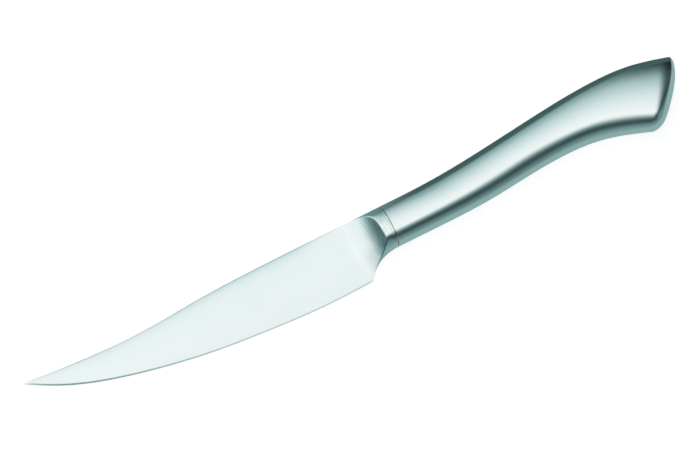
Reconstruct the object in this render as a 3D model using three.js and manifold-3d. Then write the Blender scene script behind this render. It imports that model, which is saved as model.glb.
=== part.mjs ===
// A forged dressing knife with a hollow all-steel handle, in millimetres.
//
// While it is modelled, the knife lies along X with its point at -X and its butt at +X.
// Its back faces +Y, its flat sides face +Z and -Z, and z = 0 is the middle plane of the
// blade. x = 0 is the joint between bolster and handle, and y = 0 the middle of that joint.

import * as THREE from 'three';
import Module from 'manifold-3d';

// Blade
const BLADE_LENGTH = 158; // joint to point
const BACK_DIP = 3.35; // how far the back sinks below its height at the joint
const POINT_DROP = 1.05; // point below the back's height at the joint
const HEEL_TO_JOINT = 15.6;
const HEEL_DEPTH = 16.3; // heel below the middle of the joint
const EDGE_SAG = 0.5; // how far the edge swells below the heel
const BACK_THICKNESS = 2.2; // at the heel
const EDGE_THICKNESS = 0.34; // behind the bevel
const EDGE_BEVEL = 0.65; // height of the bevel
const BACK_BREAK = 0.3; // broken corners along the back

// Bolster
const JOINT_WIDTH = 17.2; // along Y
const JOINT_THICKNESS = 15; // along Z
const OVAL_POWER = 2.1; // 2 is an ellipse, more is squarer
const BACK_SQUARENESS = 5; // added to the power along the bolster's back, towards the heel
const OVAL_MIDDLE = 0.47; // where the oval is thickest, as a share from the belly to the back
const SCOOP_RADIUS = 14;
const SCOOP_TO_JOINT = 5.2; // width of the band left behind the scoop
const BOLSTER_TAPER = 0.21; // loss of half thickness for each millimetre towards the point
const CHOIL_REACH = 10.8; // how far the underside runs on before it turns down to the heel

// Spigot and tang, hidden in the handle
const SPIGOT_LENGTH = 5;
const SPIGOT_CLEARANCE = 0.15;
const TANG_LENGTH = 62; // from the joint
const TANG_ROOT_WIDTH = 9;
const TANG_END_WIDTH = 6;
const TANG_THICKNESS = 3;
const TANG_RISE = 3; // of its end, following the handle
const NOTCH_COUNT = 3; // on each edge of the tang
const NOTCH_DEPTH = 1.2;
const NOTCH_LENGTH = 5;

// Handle
const JOINT_GAP = 0.3; // the fine line between bolster and handle
const HANDLE_BACK_LENGTH = 129.7;
const HANDLE_BELLY_LENGTH = 110;
const HANDLE_HUMP = 7.3; // rise of the back above its height at the joint
const HANDLE_HOLLOW = 3.5; // rise of the belly above its height at the joint
const BUTT_TOP_RISE = 2.6; // back's end above its height at the joint
const BUTT_TOE_DROP = 2.95; // belly's end below its height at the joint
const BUTT_THICKNESS = 16;
const BUTT_BULGE = 5; // of the end face beyond the straight crease
const BUTT_TOP_POWER = 2.1; // 2 rounds the end's upper corner most
const BUTT_TOE_POWER = 2.5; // and its lower corner
const BUTT_ROLL_LENGTH = 3.5; // the sides roll over just before the crease
const BUTT_ROLL_DEPTH = 0.8;
const BUTT_DOME_POWER = 0.62; // 0.5 is a round dome, 1 a straight bevel
const SHELL_WALL = 1.2;

// Cement round the tang
const CEMENT_PAST_TANG = 4; // how far it covers the tang's end
const CEMENT_GAP = 0.1; // to the steel on both sides

// Fineness of the curved faces
const ARC_STEPS = 24; // across half a handle section
const INNER_ARC_STEPS = 16;
const BLADE_STEPS = 30;
const BOLSTER_STEPS = 12;
const HANDLE_STEPS = 26;
const INNER_HANDLE_STEPS = 18;
const DOME_STEPS = 6;

const OVERLAP = 1; // how far joined solids run into each other, and cutters past a face

const wasm = await Module();
wasm.setup();
const { Manifold } = wasm;

const STEEL = { color: 0xd5dddd, metalness: 1, roughness: 0.3 };
const HANDLE_STEEL = { color: 0xccd6d6, metalness: 1, roughness: 0.34 };
const CEMENT = { color: 0x8d8a82, metalness: 0, roughness: 0.9 };

const mix = (a, b, share) => a + (b - a) * share;
const steps = (count) => Array.from({ length: count + 1 }, (_, i) => i / count);

// Height of an outline at x, from a spline through its points.
function outline(points) {
  const curve = new THREE.SplineCurve(points.map(([x, y]) => new THREE.Vector2(x, y)));
  const samples = curve.getPoints(40 * points.length).sort((a, b) => a.x - b.x);
  return (x) => {
    let i = 1;
    while (i < samples.length - 1 && samples[i].x < x) i += 1;
    const [a, b] = [samples[i - 1], samples[i]];
    return mix(a.y, b.y, (x - a.x) / (b.x - a.x));
  };
}

// A closed solid from points and triangles. Points that fall together become one, and the
// triangles that this leaves without area are dropped.
function solid(points, triangles) {
  const places = new Map();
  const kept = [];
  const index = points.map((p) => {
    const key = [p.x, p.y, p.z].map((v) => Math.round(v * 1e4)).join();
    if (!places.has(key)) {
      places.set(key, kept.length / 3);
      kept.push(p.x, p.y, p.z);
    }
    return places.get(key);
  });
  const faces = triangles.map((t) => t.map((i) => index[i]));
  const whole = faces.filter(([a, b, c]) => a !== b && b !== c && c !== a);
  return new Manifold(new wasm.Mesh({
    numProp: 3,
    vertProperties: new Float32Array(kept),
    triVerts: new Uint32Array(whole.flat()),
  }));
}

// A loft through rings with equal numbers of points. Each end is closed by a fan from the
// ring's first point, so an end ring is convex or has shrunk to one point. The rings run
// anticlockwise when seen from the end that the loft runs to.
function loft(rings) {
  const count = rings[0].length;
  const triangles = [];
  for (let r = 0; r + 1 < rings.length; r += 1) {
    for (let i = 0; i < count; i += 1) {
      const [a, b] = [r * count + i, r * count + ((i + 1) % count)];
      triangles.push([a, b, b + count], [a, b + count, a + count]);
    }
  }
  const last = (rings.length - 1) * count;
  for (let i = 1; i + 1 < count; i += 1) {
    triangles.push([0, i + 1, i], [last, last + i, last + i + 1]);
  }
  return solid(rings.flat(), triangles);
}

function extruded(shape, depth, matrix) {
  const geometry = new THREE.ExtrudeGeometry(shape, { depth, bevelEnabled: false });
  geometry.applyMatrix4(matrix);
  const flat = geometry.index ? geometry.toNonIndexed() : geometry;
  const position = flat.getAttribute('position');
  const points = [];
  const triangles = [];
  for (let i = 0; i < position.count; i += 1) {
    points.push(new THREE.Vector3().fromBufferAttribute(position, i));
    if (i % 3 === 2) triangles.push([i - 2, i - 1, i]);
  }
  return solid(points, triangles);
}

function mesh(name, manifold, look) {
  const { vertProperties, triVerts } = manifold.getMesh();
  const geometry = new THREE.BufferGeometry();
  geometry.setAttribute('position', new THREE.BufferAttribute(vertProperties, 3));
  geometry.setIndex(new THREE.BufferAttribute(triVerts, 1));
  geometry.computeVertexNormals();
  const made = new THREE.Mesh(geometry, new THREE.MeshStandardMaterial(look));
  made.name = name;
  return made;
}

// Outlines in the middle plane

const JOINT_TOP = JOINT_WIDTH / 2;
const JOINT_BOTTOM = -JOINT_WIDTH / 2;
const POINT = new THREE.Vector2(-BLADE_LENGTH, JOINT_TOP - POINT_DROP);
const HEEL = new THREE.Vector2(-HEEL_TO_JOINT, -HEEL_DEPTH);

// The back is almost straight, sinks to a shallow dip and sweeps up to the point. Each
// pair is a share of the blade's length and a share of the dip.
const backAt = outline([
  [0, 0], [0.2, 0.1], [0.4, 0.24], [0.52, 0.48], [0.62, 0.82], [0.73, 1], [0.86, 0.82],
].map(([along, dip]) => [-BLADE_LENGTH * along, JOINT_TOP - BACK_DIP * dip])
  .concat([[POINT.x, POINT.y]]));

// The edge swells a little behind the heel and then curves up to the point. Each pair is a
// share of the way from heel to point and a share of the rise between them.
const edgeAt = outline([
  [0, 0], [0.14, -EDGE_SAG / (POINT.y - HEEL.y)], [0.31, 0.021], [0.49, 0.115], [0.66, 0.28],
  [0.8, 0.48], [0.91, 0.72], [1, 1],
].map(([along, rise]) => [mix(HEEL.x, POINT.x, along), mix(HEEL.y, POINT.y, rise)]));

// The underside of the bolster runs level from the joint and turns down to the heel.
const choil = new THREE.QuadraticBezierCurve(
  new THREE.Vector2(0, JOINT_BOTTOM),
  new THREE.Vector2(-CHOIL_REACH, JOINT_BOTTOM),
  HEEL,
);
const choilPoints = choil.getPoints(60);
const undersideAt = outline(choilPoints.map((p) => [p.x, p.y]));

// The handle's back rises to a hump near the butt, and its belly rises under the palm and
// drops to the toe. Each pair is a share of the length and a height over the joint.
const handleBackAt = outline([
  [0, 0], [0.17, 0.06], [0.34, 0.31], [0.54, 0.71], [0.75, 1], [0.88, 0.89],
].map(([along, rise]) => [HANDLE_BACK_LENGTH * along, JOINT_TOP + HANDLE_HUMP * rise])
  .concat([[HANDLE_BACK_LENGTH, JOINT_TOP + BUTT_TOP_RISE]]));
const handleBellyAt = outline([
  [0, 0], [0.18, 0.03], [0.36, 0.2], [0.53, 0.7], [0.69, 1], [0.84, 0.62],
].map(([along, rise]) => [HANDLE_BELLY_LENGTH * along, JOINT_BOTTOM + HANDLE_HOLLOW * rise])
  .concat([[HANDLE_BELLY_LENGTH, JOINT_BOTTOM - BUTT_TOE_DROP]]));

// The oval section shared by bolster, spigot, handle and cement

// Points from the back over the side to the belly, as the share of the way from back to
// belly and the share of the half thickness.
function ovalArc(count, backPower = OVAL_POWER) {
  return steps(count).map((step) => {
    const angle = Math.PI * step;
    const towardsBack = Math.cos(angle) > 0;
    const power = towardsBack ? backPower : OVAL_POWER;
    const reach = Math.abs(Math.cos(angle)) ** (2 / power);
    const down = towardsBack
      ? (1 - OVAL_MIDDLE) * (1 - reach)
      : 1 - OVAL_MIDDLE + OVAL_MIDDLE * reach;
    return { down, out: Math.max(Math.sin(angle), 0) ** (2 / power) };
  });
}

// A whole oval ring between two points of the middle plane.
function ovalRing(top, bottom, half, arc) {
  const near = arc.map(({ down, out }) => new THREE.Vector3(
    mix(top.x, bottom.x, down), mix(top.y, bottom.y, down), half * out));
  const far = near.slice(1, -1).reverse().map((p) => new THREE.Vector3(p.x, p.y, -p.z));
  return [...near, ...far];
}

// The blade, a flat wedge

const WEDGE = (BACK_THICKNESS - EDGE_THICKNESS) / 2
  / (backAt(HEEL.x) - HEEL.y - EDGE_BEVEL);

function bladeRing(x, back, edge) {
  const height = back - edge;
  const bevel = Math.min(EDGE_BEVEL, 0.4 * height);
  const breakSize = Math.min(BACK_BREAK, 0.2 * height);
  const shoulder = edge + bevel;
  const shoulderHalf = EDGE_THICKNESS / 2 * bevel / EDGE_BEVEL;
  const backHalf = shoulderHalf + WEDGE * (back - shoulder);
  const side = [
    [back, Math.max(backHalf - breakSize, 0.5 * backHalf)],
    [back - breakSize, backHalf],
    [shoulder, shoulderHalf],
  ];
  const near = side.map(([y, z]) => new THREE.Vector3(x, y, z));
  const far = side.map(([y, z]) => new THREE.Vector3(x, y, -z)).reverse();
  return [...near, new THREE.Vector3(x, edge, 0), ...far];
}

function bladeBody() {
  const rings = [Array(7).fill(new THREE.Vector3(POINT.x, POINT.y, 0))];
  steps(BLADE_STEPS).slice(1).forEach((step) => {
    const x = mix(POINT.x, HEEL.x, step ** 1.35);
    rings.push(bladeRing(x, backAt(x), edgeAt(x)));
  });
  // A last ring runs into the bolster, clear of its outside.
  const inside = HEEL.x + OVERLAP;
  const inset = 0.6 * OVERLAP;
  const last = bladeRing(inside, backAt(inside) - inset, undersideAt(inside) + inset);
  rings.push(last.map((p) => new THREE.Vector3(p.x, p.y, 0.8 * p.z)));
  return loft(rings);
}

// The bolster, an oval forging with both sides scooped down to the blade

// Half thickness of the scooped side over the blade's face.
const scoopRise = JOINT_THICKNESS / 2 - BACK_THICKNESS / 2;
const scoopStart = -SCOOP_TO_JOINT
  - Math.sqrt(Math.max(2 * SCOOP_RADIUS * scoopRise - scoopRise ** 2, 1));
const SCOOP_SINK = 0.02; // the scoop starts this far under the blade's face

function scoopCutter(side) {
  const base = EDGE_THICKNESS / 2 - WEDGE * (HEEL.y + EDGE_BEVEL) - SCOOP_SINK;
  const top = base + JOINT_THICKNESS;
  const shape = new THREE.Shape();
  shape.moveTo(scoopStart - 2 * OVERLAP, top);
  shape.lineTo(scoopStart - 2 * OVERLAP, base);
  shape.absarc(scoopStart, base + SCOOP_RADIUS, SCOOP_RADIUS, -Math.PI / 2, -0.06, false);
  shape.lineTo(scoopStart + SCOOP_RADIUS, top + SCOOP_RADIUS);
  shape.lineTo(scoopStart - 2 * OVERLAP, top + SCOOP_RADIUS);
  // The cutter's length lies along Y, leaning with the blade's face.
  const reach = 2 * (HEEL_DEPTH + JOINT_WIDTH);
  const along = new THREE.Vector3(0, -1, -side * WEDGE).multiplyScalar(side);
  const matrix = new THREE.Matrix4().makeBasis(
    new THREE.Vector3(1, 0, 0), new THREE.Vector3(0, 0, side), along);
  const start = along.clone().multiplyScalar(-reach / 2);
  matrix.setPosition(start);
  return extruded(shape, reach, matrix);
}

function bolster() {
  const first = Math.min(scoopStart, HEEL.x - 0.5);
  const stations = [first, ...steps(BOLSTER_STEPS).map((s) => mix(HEEL.x, -JOINT_GAP / 2, s))];
  const rings = stations.map((x) => {
    const top = backAt(x);
    const bottom = x < HEEL.x ? HEEL.y + EDGE_BEVEL + 1.5 * (HEEL.x - x) : undersideAt(x);
    const half = JOINT_THICKNESS / 2 + BOLSTER_TAPER * Math.min(x + SCOOP_TO_JOINT, 0);
    const arc = ovalArc(ARC_STEPS, OVAL_POWER + BACK_SQUARENESS * (x / HEEL.x) ** 2);
    return ovalRing(new THREE.Vector2(x, top), new THREE.Vector2(x, bottom), half, arc);
  });
  return loft(rings).subtract(scoopCutter(1)).subtract(scoopCutter(-1));
}

// The handle's sections stand square at the joint and lean more and more towards the butt,
// where the last one is the straight crease of the end face. Each section joins a point of
// the back to a point of the belly, both moved inwards by an inset.

const CREASE_TOP = new THREE.Vector2(HANDLE_BACK_LENGTH, handleBackAt(HANDLE_BACK_LENGTH));
const CREASE_TOE = new THREE.Vector2(HANDLE_BELLY_LENGTH, handleBellyAt(HANDLE_BELLY_LENGTH));
const CREASE = CREASE_TOE.clone().sub(CREASE_TOP).normalize();
const OUTWARDS = new THREE.Vector2(-CREASE.y, CREASE.x);

function handleSection(step, inset) {
  const backX = HANDLE_BACK_LENGTH * step;
  const bellyX = backX - (HANDLE_BACK_LENGTH - HANDLE_BELLY_LENGTH) * step ** 3;
  const top = new THREE.Vector2(backX, handleBackAt(backX));
  const bottom = new THREE.Vector2(bellyX, handleBellyAt(bellyX));
  const down = bottom.clone().sub(top).normalize();
  top.addScaledVector(down, inset);
  bottom.addScaledVector(down, -inset);
  const half = mix(JOINT_THICKNESS, BUTT_THICKNESS, step) / 2 - inset;
  return { top, bottom, half };
}

// Depth by which the sides have rolled over at a point, just before the crease.
function rolledOver(point, inset) {
  const toCrease = -point.clone().sub(CREASE_TOP).dot(OUTWARDS) - inset;
  return BUTT_ROLL_DEPTH * Math.max(1 - toCrease / BUTT_ROLL_LENGTH, 0) ** 2;
}

function sideArc(section, inset, count) {
  return ovalArc(count).map(({ down, out }) => {
    const at = section.top.clone().lerp(section.bottom, down);
    const half = section.half - rolledOver(at, inset);
    return new THREE.Vector3(at.x, at.y, half * out);
  });
}

// One half of the handle as a solid block, flat on the middle plane or on a skirt below it.
function handleHalf({ inset, from, stationCount, arcCount, skirt }) {
  const close = (arc) => {
    if (skirt === 0) return arc;
    const [first, last] = [arc[0], arc[arc.length - 1]];
    const below = [first, last].map((p) => new THREE.Vector3(p.x, p.y, -skirt));
    return [below[0], ...arc, below[1]];
  };
  const rings = [];
  if (from < 0) {
    const mouth = sideArc(handleSection(0, inset), inset, arcCount);
    rings.push(close(mouth.map((p) => new THREE.Vector3(from, p.y, p.z))));
  }
  const endStep = 1 - inset / HANDLE_BACK_LENGTH;
  const firstStep = Math.max(from, 0) / HANDLE_BACK_LENGTH;
  // Stations crowd together towards the butt, where the sides roll over.
  const easing = (s) => 1 - (1 - s) ** 1.5;
  steps(stationCount).forEach((s) => {
    const section = handleSection(mix(firstStep, endStep, easing(s)), inset);
    rings.push(close(sideArc(section, inset, arcCount)));
  });
  const crease = sideArc(handleSection(endStep, inset), inset, arcCount);
  const arc = ovalArc(arcCount);
  const bulge = arc.map(({ down }) => {
    const power = down < 0.5 ? BUTT_TOP_POWER : BUTT_TOE_POWER;
    const off = Math.abs(2 * down - 1) ** power;
    return BUTT_BULGE * Math.max(1 - off, 0) ** (1 / power);
  });
  const domeRing = (out, height) => crease.map((p, i) => {
    const at = new THREE.Vector2(p.x, p.y).addScaledVector(OUTWARDS, bulge[i] * out);
    return new THREE.Vector3(at.x, at.y, p.z * height);
  });
  steps(DOME_STEPS).slice(1).forEach((s) => {
    const height = Math.cos(Math.PI / 2 * s);
    const level = s === 1 ? 0 : height;
    rings.push(close(domeRing(1 - level ** (1 / BUTT_DOME_POWER), level)));
  });
  if (skirt > 0) {
    const base = domeRing(1, 0).map((p) => new THREE.Vector3(p.x, p.y, -skirt));
    rings.push(close(base));
  }
  return loft(rings);
}

function handleShell() {
  const outside = handleHalf({
    inset: 0,
    from: JOINT_GAP / 2,
    stationCount: HANDLE_STEPS,
    arcCount: ARC_STEPS,
    skirt: 0,
  });
  const hollow = handleHalf({
    inset: SHELL_WALL,
    from: -OVERLAP,
    stationCount: INNER_HANDLE_STEPS,
    arcCount: INNER_ARC_STEPS,
    skirt: OVERLAP,
  });
  return outside.subtract(hollow);
}

// Spigot and tang

// A block that fills the hollow between two distances from the joint.
function hollowFill(inset, from, to, count) {
  const rings = steps(count).map((s) => {
    const x = mix(from, to, s);
    const { top, bottom, half } = handleSection(Math.max(x, 0) / HANDLE_BACK_LENGTH, inset);
    return ovalRing(top, bottom, half, ovalArc(INNER_ARC_STEPS))
      .map((p) => new THREE.Vector3(x < 0 ? x : p.x, p.y, p.z));
  });
  return loft(rings);
}

function tang(grow) {
  const end = TANG_LENGTH + grow;
  const widthAt = (x) => mix(TANG_ROOT_WIDTH, TANG_END_WIDTH, x / TANG_LENGTH) / 2 + grow;
  const middleAt = (x) => TANG_RISE * x / TANG_LENGTH;
  const start = -OVERLAP;
  const pitch = (TANG_LENGTH - SPIGOT_LENGTH) / (NOTCH_COUNT + 1);
  const notches = steps(NOTCH_COUNT + 1).slice(1, -1).map((s) => SPIGOT_LENGTH
    + pitch * (NOTCH_COUNT + 1) * s);
  const edge = [[start, 0]];
  notches.forEach((x) => {
    const half = NOTCH_LENGTH / 2 - grow;
    edge.push([x - half, 0], [x - half + NOTCH_DEPTH, NOTCH_DEPTH]);
    edge.push([x + half - NOTCH_DEPTH, NOTCH_DEPTH], [x + half, 0]);
  });
  edge.push([end, 0]);
  const low = edge.map(([x, cut]) => new THREE.Vector2(x, middleAt(x) - widthAt(x) + cut));
  const high = edge.map(([x, cut]) => new THREE.Vector2(x, middleAt(x) + widthAt(x) - cut));
  const thickness = TANG_THICKNESS + 2 * grow;
  const matrix = new THREE.Matrix4().makeTranslation(0, 0, -thickness / 2);
  return extruded(new THREE.Shape([...low, ...high.reverse()]), thickness, matrix);
}

function forging() {
  const spigot = hollowFill(SHELL_WALL + SPIGOT_CLEARANCE, -OVERLAP, SPIGOT_LENGTH, 4);
  return bladeBody().add(bolster()).add(spigot).add(tang(0));
}

function cement() {
  const inset = SHELL_WALL + CEMENT_GAP;
  const end = TANG_LENGTH + CEMENT_PAST_TANG;
  const fill = hollowFill(inset, SPIGOT_LENGTH + CEMENT_GAP, end, 10);
  return fill.subtract(tang(CEMENT_GAP));
}

// Assembly. The finished knife lies on its right side, with the middle of its underside at
// the origin.
const knife = new THREE.Group();
const shell = handleShell();
knife.add(
  mesh('blade', forging(), STEEL),
  mesh('handle_shell_left', shell, HANDLE_STEEL),
  mesh('handle_shell_right', shell.mirror([0, 0, 1]), HANDLE_STEEL),
  mesh('tang_cement', cement(), CEMENT),
);
const box = new THREE.Box3().setFromObject(knife);
const middle = box.getCenter(new THREE.Vector3());
knife.position.set(-middle.x, -middle.y, -box.min.z);

export default knife;
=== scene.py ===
"""The looks of a forged dressing knife with a hollow steel handle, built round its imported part.

The knife is drawn in millimetres, in the pose of its CAD part: it lies along X with its point at
-X, its back faces +Y, z = 0 is its middle plane, and x = y = 0 is the middle of the joint between
bolster and handle. place() turns those millimetres into the frame's metres.
"""

import math

import bmesh
import bpy
import numpy as np
from mathutils import Matrix, Vector


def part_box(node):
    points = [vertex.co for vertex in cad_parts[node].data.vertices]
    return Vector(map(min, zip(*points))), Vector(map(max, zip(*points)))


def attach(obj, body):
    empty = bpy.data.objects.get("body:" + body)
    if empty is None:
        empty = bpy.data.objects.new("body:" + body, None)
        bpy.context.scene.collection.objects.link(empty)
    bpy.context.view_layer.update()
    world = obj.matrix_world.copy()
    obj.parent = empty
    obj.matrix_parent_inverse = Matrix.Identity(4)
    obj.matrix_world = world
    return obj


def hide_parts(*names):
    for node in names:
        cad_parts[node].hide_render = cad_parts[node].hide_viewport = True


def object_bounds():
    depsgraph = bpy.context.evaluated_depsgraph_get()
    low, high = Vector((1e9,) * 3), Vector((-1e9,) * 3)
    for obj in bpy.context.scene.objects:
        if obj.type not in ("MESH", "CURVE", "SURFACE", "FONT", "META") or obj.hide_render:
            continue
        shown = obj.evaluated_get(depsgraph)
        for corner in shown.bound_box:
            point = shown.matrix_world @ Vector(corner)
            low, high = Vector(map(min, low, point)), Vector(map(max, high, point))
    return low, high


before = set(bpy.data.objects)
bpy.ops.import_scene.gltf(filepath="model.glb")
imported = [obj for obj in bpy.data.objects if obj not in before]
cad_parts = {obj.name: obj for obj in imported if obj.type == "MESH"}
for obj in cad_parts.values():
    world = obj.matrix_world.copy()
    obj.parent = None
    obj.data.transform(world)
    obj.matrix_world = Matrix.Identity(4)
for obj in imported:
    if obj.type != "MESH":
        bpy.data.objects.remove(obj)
cad_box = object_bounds()

MM = 0.001  # in metres

# Blade
BLADE_LENGTH = 158  # joint to point
BACK_DIP = 3.35  # how far the back sinks below its height at the joint
POINT_DROP = 1.05  # point below the back's height at the joint
HEEL_TO_JOINT = 15.6
HEEL_DEPTH = 16.3  # heel below the middle of the joint
EDGE_SAG = 0.5  # how far the edge swells below the heel
BACK_THICKNESS = 3  # of the flat faces, carried on to the back's corners at the heel
EDGE_BEVEL = 0.55  # height of the bevel
BEVEL_MOST = 0.4  # most of the blade's height that it takes
EDGE_SLOPE = 0.17  # of the bevel
GRIND_CONVEX = 0.6  # 0 grinds the faces flat, 1 has them level at the back
POINT_BEVEL = 0.25  # added to the bevel's height at the point
POINT_SLOPE = 0.15  # added to its slope there
POINT_POWER = 3  # how late towards the point both are added
BACK_BREAK = 0.22  # broken corners along the back
BREAK_MOST = 0.2  # most of the blade's height that they take
BREAK_LEAST = 0.5  # least share of the thickness that they leave between them
# The faces roll over towards the back: depth at the back and reach of the roll, twice.
BACK_ROLLS = [(0.3, 0.9), (0.5, 3.2)]
BACK_ROLL_FADE = 18  # the roll fades out over this length before the scoop
BACK_ROLL_MOST = 0.55  # most of the half thickness that the roll takes near the point
BREAK_FADE = 12  # the broken corners fade out over this length before the heel

# Bolster
JOINT_WIDTH = 17.2  # along Y
JOINT_THICKNESS = 15  # along Z
OVAL_POWER = 2.1  # 2 is an ellipse, more is squarer
JOINT_BACK_POWER = 2.5  # of the oval's back half at the joint
BACK_SQUARENESS = 3  # added to the power along the bolster's back, towards the heel
OVAL_MIDDLE = 0.44  # where the oval is thickest, as a share from the belly to the back
SCOOP_RADIUS = 19
SCOOP_MOST = 0.999  # share of that radius at which the scoop stops rising
SCOOP_TO_JOINT = 5.5  # from the scoop's rim to the middle of the joint
# The scoop sets in later towards its upper and its lower end: height where that begins, how much
# later for each millimetre, and the height over which it sets in.
SCOOP_UPPER = (1, 0.1, 1)
SCOOP_LOWER = (-2.6, 0.24, 1.5)
TUCK = 0.26  # share of the half thickness that the bolster's belly loses towards the heel
TUCK_FROM = 0.18  # share of the way from the thickest place to the belly where that begins
TUCK_RUN = 6  # length over which it loses that, from the joint's line
BOLSTER_TAPER = 0.21  # loss of half thickness for each millimetre towards the point
TAPER_EASE = 1.2  # length over which that taper sets in
CHOIL_REACH = 10.8  # how far the underside runs on before it turns down to the heel
RIM_ROUND = 0.45  # softness of the scoop's rim
RIM_ROUND_RUN = 3  # the rim sharpens over this length at the heel
RIM_ROUND_LEAST = 1e-4  # share of the softness that is left there
BEVEL_RUN_OUT = 1.5  # how fast the edge bevel leaves the heel's back face

# Spigot and tang, hidden in the handle
SPIGOT_LENGTH = 5
SPIGOT_CLEARANCE = 0.15
TANG_LENGTH = 62  # from the joint
TANG_ROOT_WIDTH = 9
TANG_END_WIDTH = 6
TANG_THICKNESS = 3
TANG_RISE = 3  # of its end, following the handle
NOTCH_COUNT = 3  # on each edge of the tang
NOTCH_DEPTH = 1.2
NOTCH_LENGTH = 5

# Handle
JOINT_LINE = -1  # where the line between bolster and handle shows, along X
JOINT_GAP = 0.28  # width of that line
JOINT_ROUND = 0.05  # broken corners on both sides of that line
HANDLE_BACK_LENGTH = 129.7
HANDLE_BELLY_LENGTH = 110
SHEAR_POWER = 3  # how late along the handle its sections start to slant like the butt
HANDLE_HUMP = 7.3  # rise of the back above its height at the joint
HANDLE_HOLLOW = 3.5  # rise of the belly above its height at the joint
BUTT_TOP_RISE = 3  # back's end above its height at the joint
BUTT_TOE_DROP = 2.95  # belly's end below its height at the joint
BUTT_THICKNESS = 16
BUTT_BULGE = 5  # of the end face beyond the straight crease
BUTT_TOP_POWER = 2.1  # 2 rounds the end's upper corner most
BUTT_TOE_POWER = 2.5  # and its lower corner
TOE_TURN = 0.38  # how far the end leans up at the toe, where it carries on the belly's line
TOE_TURN_FROM = 0.8  # share from back to belly where that begins
JOINT_POWER_RUN = 0.22  # share of the length over which the joint's oval becomes the handle's
BUTT_BELLY_POWER = 2.3  # of the oval's belly half at the butt
BUTT_POWER_FROM = 0.62  # share of the length where the oval starts to change to that
BUTT_POWER_TO = 0.88  # and where it has changed
CREASE_BOW = 1.6  # of the crease, outwards in its middle
CREASE_BOW_POWER = 4  # 2 bows it evenly, more bends it most by its ends
CREASE_BOW_LATENESS = 8  # how late along the handle its sections take up that bow
BUTT_ROLL_LENGTH = 4.8  # the sides roll over just before the crease
BUTT_ROLL_TOE = 0.5  # share of that length left at the toe
BUTT_ROLL_DEPTH = 1.3
BUTT_ROLL_POWER = 2.4
BUTT_DOME_POWER = 0.62  # 0.5 is a round dome, 1 a straight bevel
BUTT_LEAN_MOST = 0.45  # most that the end leans where it goes on from the sides
SHELL_WALL = 1.2
CREASE_SHARP = (0.05, 0.76)  # where the butt's crease is crisp, as shares from back to belly
CREASE_TOP_FADE = 0.09  # and where it gives way to round corners at the top
CREASE_TOE_FADE = (0.62, 0.9)  # and at the toe

# Fineness of the meshes
FACE_COLUMNS = 72  # across the blade's face and round the bolster
BEVEL_COLUMNS = 8
BLADE_ROWS = 150
SCOOP_ROWS = 36
BAND_ROWS = 36
HANDLE_COLUMNS = 88  # round half the handle
HANDLE_ROWS = 150
DOME_ROWS = 24
RIM_CROWDING = 1.8  # above 1, rows are closer together by the scoop's rim
BLADE_CROWDING = 1.3  # and by the point
HANDLE_CROWDING = 1.5  # and by the butt
COLUMN_CROWDING = 0.1  # above 0, columns are closer together by the handle's back and belly
SPREAD_TRIES = 4000  # angles tried to spread the columns round the bolster
SPREAD_CROWDING = 3  # above 1, more of them by the back
CORNER_BETWEEN = (1e-8, 0.5)  # angles between which the back's corner at the heel is looked for
SHARP_ANGLE = math.radians(28)  # edges that bend more than this stay crisp
WELD = 0.0005  # points closer than this become one

JOINT_TOP = JOINT_WIDTH / 2
JOINT_BOTTOM = -JOINT_WIDTH / 2
POINT = (-BLADE_LENGTH, JOINT_TOP - POINT_DROP)
HEEL = (-HEEL_TO_JOINT, -HEEL_DEPTH)

blade_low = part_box("blade")[0]
JOINT_PLACE = Vector((
    cad_box[0][0] + BLADE_LENGTH * MM,
    blade_low.y + (HEEL_DEPTH + EDGE_SAG) * MM,
    (cad_box[0][2] + cad_box[1][2]) / 2,
))


def place(points):
    """Points in the frame's metres."""
    return np.asarray(points) * MM + np.array(JOINT_PLACE)


def mix(a, b, share):
    """What lies at a share of the way from a to b."""
    return a + (b - a) * share


def ease(share):
    """A share held between 0 and 1, that starts and ends gently."""
    share = np.clip(share, 0, 1)
    return share ** 2 * (3 - 2 * share)


def outline(points):
    """Height of an outline at any x, from a natural cubic spline through its points."""
    xs, ys = np.array(sorted(points)).T
    gaps = np.diff(xs)
    slopes = np.diff(ys) / gaps
    system = np.eye(len(xs))
    turns = np.zeros(len(xs))
    for i in range(1, len(xs) - 1):
        system[i, i - 1:i + 2] = gaps[i - 1], 2 * (gaps[i - 1] + gaps[i]), gaps[i]
        turns[i] = 6 * (slopes[i] - slopes[i - 1])
    bends = np.linalg.solve(system, turns)

    def at(x):
        i = np.clip(np.searchsorted(xs, x) - 1, 0, len(gaps) - 1)
        b = (x - xs[i]) / gaps[i]
        a = 1 - b
        bend = (a ** 3 - a) * bends[i] + (b ** 3 - b) * bends[i + 1]
        return a * ys[i] + b * ys[i + 1] + bend * gaps[i] ** 2 / 6

    return at


# Outlines in the middle plane

# Each pair is a share of the blade's length and a share of the dip.
back_at = outline([
    (-BLADE_LENGTH * along, JOINT_TOP - BACK_DIP * dip)
    for along, dip in [
        (0, 0), (0.2, 0.1), (0.4, 0.24), (0.52, 0.48), (0.62, 0.82), (0.73, 1), (0.86, 0.82),
    ]
] + [POINT])

# Each pair is a share of the way from heel to point and a share of the rise between them.
edge_at = outline([
    (mix(HEEL[0], POINT[0], along), mix(HEEL[1], POINT[1], rise))
    for along, rise in [
        (0, 0), (0.14, -EDGE_SAG / (POINT[1] - HEEL[1])), (0.31, 0.021), (0.49, 0.115),
        (0.66, 0.28), (0.8, 0.48), (0.91, 0.72), (1, 1),
    ]
])

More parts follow.
